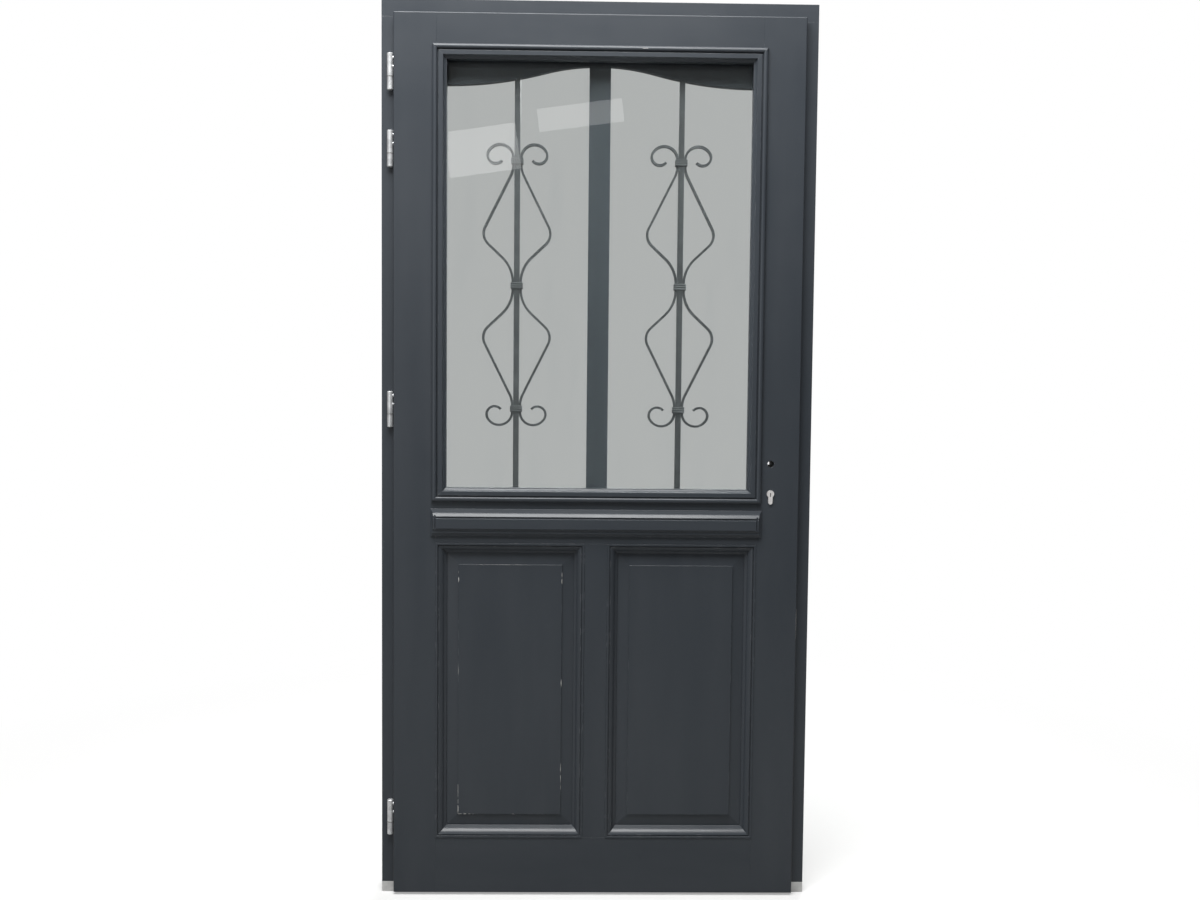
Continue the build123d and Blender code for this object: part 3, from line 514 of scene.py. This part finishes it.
def chipStrip(dice, start, end, inward, size):
    # One jagged strip along an arris: a flank, the arris itself and a ragged edge on the face.
    along = end - start
    count = max(chips["fewest"], int(along.length / chips["step"]) + 1)
    lift = Vector((0, -chips["proud"], 0)) - inward * chips["proud"]
    bluntLow, bluntHigh = chips["ends"]
    rows = []
    for step in range(count):
        share = step / (count - 1)
        taper = math.sqrt(math.sin(math.pi * min(max(share, bluntLow), bluntHigh)))
        width = chips["width"] * size * taper * dice.uniform(*chips["widthRange"])
        wrap = chips["wrap"] * size * taper * dice.uniform(*chips["wrapRange"])
        arris = start + along * share + lift
        rows.append([arris + Vector((0, wrap, 0)), arris, arris + inward * width])
    return rows


def joinStrips(name, strips, material):
    points, faces = [], []
    for rows in strips:
        base = len(points)
        width = len(rows[0])
        points += [point for row in rows for point in row]
        for row in range(len(rows) - 1):
            for side in range(width - 1):
                corner = base + row * width + side
                faces.append((corner, corner + 1, corner + width + 1, corner + width))
    mesh = bpy.data.meshes.new(name)
    mesh.from_pydata([tuple(point) for point in points], [], faces)
    mesh.materials.append(material)
    piece = bpy.data.objects.new(name, mesh)
    bpy.context.scene.collection.objects.link(piece)
    return piece


def fieldChips():
    dice = random.Random(chips["seed"])
    low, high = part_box("left_panel")
    inset = chips["fieldInset"] - chips["openingEdge"]
    left, right, foot, head = low.x + inset, high.x - inset, low.z + inset, high.z - inset
    sides = {  # first corner, run and inward direction of each side of the field
        "left": (Vector((left, low.y, foot)), Vector((0, 0, head - foot)), Vector((1, 0, 0))),
        "right": (Vector((right, low.y, foot)), Vector((0, 0, head - foot)), Vector((-1, 0, 0))),
        "foot": (Vector((left, low.y, foot)), Vector((right - left, 0, 0)), Vector((0, 0, 1))),
        "head": (Vector((left, low.y, head)), Vector((right - left, 0, 0)), Vector((0, 0, -1))),
    }
    strips = []
    for side, first, last, size in chips["spots"]:
        corner, run, inward = sides[side]
        strips.append(chipStrip(dice, corner + run * first, corner + run * last, inward, size))
    return strips


def otherChips():
    dice = random.Random(chips["seed"] + 1)
    beadLow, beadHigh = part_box("glazing_bead_top")
    markEnds = [Vector((x, beadLow.y, beadHigh.z - chips["beadDrop"])) for x in chips["beadSpan"]]
    mark = chipStrip(dice, *markEnds, Vector((0, 0, 1)), chips["beadSize"])
    stileLow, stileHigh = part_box("lock_stile")
    arrisX, arrisY = stileHigh.x - chips["stileRound"], stileLow.y + chips["stileRound"]
    lineEnds = [Vector((arrisX, arrisY, z)) for z in chips["stileSpan"]]
    line = chipStrip(dice, *lineEnds, Vector((-1, 0, 0)), chips["stileSize"])
    return [mark, line]


chipPiece = joinStrips("paintChips", fieldChips() + otherChips(), makeChipMaterial())
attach(chipPiece, "leaf")
print("chipped paint made")


# Floor
floorLook = {
    "size": 14.0,
    "colour": (0.78, 0.78, 0.77),
    "pale": (0.84, 0.84, 0.83),
    "mottle": 1.5,
    "rough": 0.8,
    "bounce": (0.30, 0.30, 0.295),  # what it throws back at the door
    "shaded": 0.35,  # share of plain white near the door, where the shadow falls
    "fadeFrom": 0.7,
    "fadeTo": 2.4,
    "seen": 1.0,
    "through": 0.53,  # brightness behind the panes, as the backdrop has it
}


def seenThrough(tree, path):
    # Looking straight through the panes, without a bounce off the door or a pane on the way.
    bounced = sums(tree, "ADD", path.outputs["Diffuse Depth"], path.outputs["Glossy Depth"])
    unbounced = sums(tree, "SUBTRACT", 1.0, bounced)
    return sums(tree, "MULTIPLY", path.outputs["Is Transmission Ray"], unbounced)


def makeFloor():
    half = floorLook["size"] / 2
    corners = [(-half, -half, 0), (half, -half, 0), (half, half, 0), (-half, half, 0)]
    mesh = bpy.data.meshes.new("floor")
    mesh.from_pydata(corners, [], [(0, 1, 2, 3)])
    floor = bpy.data.objects.new("floor", mesh)
    bpy.context.scene.collection.objects.link(floor)
    material, tree, shader, place, leave = startMaterial("paleFloor")
    material.cycles.emission_sampling = "NONE"  # its glow is only seen, and lights nothing
    cloud = noise(tree, place, floorLook["mottle"])
    colour = blendColour(tree, cloud, rgba(floorLook["colour"]), rgba(floorLook["pale"]))
    feed(tree, shader, Base_Color=colour)
    fix(shader, Roughness=floorLook["rough"])
    path = put(tree, "LightPath")
    direct, behindGlass = path.outputs["Is Camera Ray"], seenThrough(tree, path)
    bright = spread(tree, direct, 0.0, 1.0, floorLook["through"], floorLook["seen"])
    glow = put(tree, "Emission", {"Color": (1, 1, 1, 1), "Strength": bright})
    reach = put(tree, "VectorMath", {0: place}, operation="LENGTH").outputs["Value"]
    white = spread(tree, reach, floorLook["fadeFrom"], floorLook["fadeTo"], floorLook["shaded"])
    share = sums(tree, "MAXIMUM", white, behindGlass)
    shown = put(tree, "MixShader", {0: share, 1: shader.outputs[0], 2: glow.outputs[0]})
    dull = put(tree, "BsdfDiffuse", {"Color": rgba(floorLook["bounce"])})
    watched = sums(tree, "ADD", direct, behindGlass)
    either = put(tree, "MixShader", {0: watched, 1: dull.outputs[0], 2: shown.outputs[0]})
    tree.links.new(either.outputs[0], leave.inputs["Surface"])
    mesh.materials.append(material)


makeFloor()
print("floor laid")


# Light
lamps = {
    "key": {
        "place": (-0.42, -1.3, 3.9), "aim": (0.0, -0.05, 1.2), "size": (2.6, 1.9), "power": 193.0,
    },
    "fill": {
        "place": (-2.4, -3.4, 1.5), "aim": (0.0, 0.0, 1.0), "size": (2.2, 2.2), "power": 20.0,
    },
    "panelNear": {  # this one and the next are seen in the panes
        "place": (-0.62, -4.0, 2.57), "aim": (-0.3, 0.0, 1.75), "size": (0.42, 0.26), "power": 1.0,
        "roll": 0.16,
    },
    "panelFar": {
        "place": (-0.05, -4.0, 2.78), "aim": (0.0, 0.0, 1.85), "size": (0.5, 0.13), "power": 0.5,
        "roll": 0.14,
    },
    "street": {
        "place": (0.6, 2.4, 3.3), "aim": (0.0, 0.0, 1.2), "size": (2.5, 2.0), "power": 130.0,
    },
}


def makeLamp(name, look):
    light = bpy.data.lights.new(name, "AREA")
    light.shape = "RECTANGLE"
    light.size, light.size_y = look["size"]
    light.energy = look["power"]
    lamp = bpy.data.objects.new(name, light)
    lamp.location = look["place"]
    turn = (Vector(look["aim"]) - Vector(look["place"])).to_track_quat("-Z", "Y")
    lamp.rotation_euler = (turn @ Quaternion((0, 0, 1), look.get("roll", 0.0))).to_euler()
    lamp.visible_camera = False
    lamp.visible_transmission = False
    bpy.context.scene.collection.objects.link(lamp)


for name, look in lamps.items():
    makeLamp(name, look)

worldLook = {"seen": 1.0, "through": 0.53, "light": 0.11}


def makeWorld():
    world = bpy.data.worlds.new("studio")
    bpy.context.scene.world = world
    world.use_nodes = True
    tree = world.node_tree
    tree.nodes.clear()
    path = put(tree, "LightPath")
    through = spread(tree, seenThrough(tree, path), 0.0, 1.0, worldLook["light"], worldLook["through"])
    direct = path.outputs["Is Camera Ray"]
    strength = put(tree, "Mix", {0: direct, 2: through, 3: worldLook["seen"]}).outputs[0]
    sky = put(tree, "Background", {"Color": (1, 1, 1, 1), "Strength": strength})
    put(tree, "OutputWorld", {"Surface": sky.outputs[0]})


makeWorld()
print("lights set")


# Camera
view = {
    "place": (-0.0421, -2.6525, 1.2203),
    "yaw": 0.0165,
    "pitch": -0.0526,
    "roll": 0.0095,
    "sensor": 36.0,
    "focalPixels": 1114.19,
    "imageWidth": 1200,
    "shiftPixels": (-2.53, -7.85),
}


def makeCamera():
    camera = bpy.data.cameras.new("photoView")
    camera.sensor_width = view["sensor"]
    camera.lens = view["focalPixels"] * view["sensor"] / view["imageWidth"]
    camera.shift_x = -view["shiftPixels"][0] / view["imageWidth"]
    camera.shift_y = view["shiftPixels"][1] / view["imageWidth"]
    yaw, pitch, roll = view["yaw"], view["pitch"], view["roll"]
    ahead = Vector((math.sin(yaw) * math.cos(pitch), math.cos(yaw) * math.cos(pitch), math.sin(pitch)))
    right = Vector((math.cos(yaw), -math.sin(yaw), 0))
    up = right.cross(ahead)
    turnedRight = right * math.cos(roll) + up * math.sin(roll)
    turnedUp = up * math.cos(roll) - right * math.sin(roll)
    axes = Matrix((turnedRight, turnedUp, -ahead)).transposed()
    holder = bpy.data.objects.new("photoView", camera)
    holder.matrix_world = Matrix.Translation(view["place"]) @ axes.to_4x4()
    bpy.context.scene.collection.objects.link(holder)
    bpy.context.scene.camera = holder


makeCamera()
bpy.context.scene.view_settings.view_transform = "Standard"
print("camera placed")
